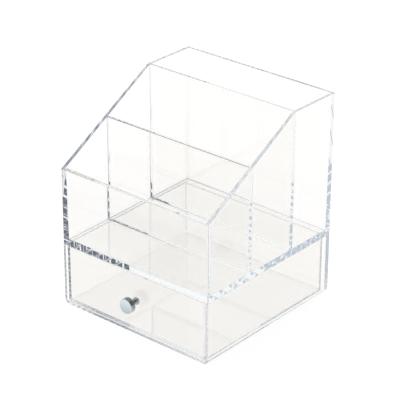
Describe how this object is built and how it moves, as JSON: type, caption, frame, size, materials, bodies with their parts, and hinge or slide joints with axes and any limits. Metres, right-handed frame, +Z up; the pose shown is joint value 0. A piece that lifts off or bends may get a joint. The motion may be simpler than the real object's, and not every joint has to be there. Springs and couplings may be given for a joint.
{
  "type": "desk organizer",
  "caption": "Clear plastic desk organizer: stepped open-top rack with sloped sides and cross dividers over a housing with a pull-out drawer and round metal knob.",
  "frame": {"origin": "centre of the housing's flat underside, midway between its sides and between its front and back faces", "axes": "+X to the right of someone facing the drawer, +Z up, -Y to the front, where the drawer opens"},
  "size_m": [0.16, 0.1722, 0.188],
  "materials": {
    "clear_rack": "clear, polished",
    "clear_housing": "clear, polished",
    "clear_drawer": "clear, polished",
    "knob_chrome": "polished chrome plate",
    "screw_steel": "plated"
  },
  "bodies": {
    "organizer": {"rack": "clear_rack", "drawer_housing": "clear_housing"},
    "drawer": {"drawer_tray": "clear_drawer", "knob": "knob_chrome", "knob_screw": "screw_steel"}
  },
  "joints": [
    {"name": "drawer_slide", "type": "slide", "parent": "organizer", "child": "drawer", "axis": [0, -1, 0], "range_m": [0, 0.13]}
  ]
}
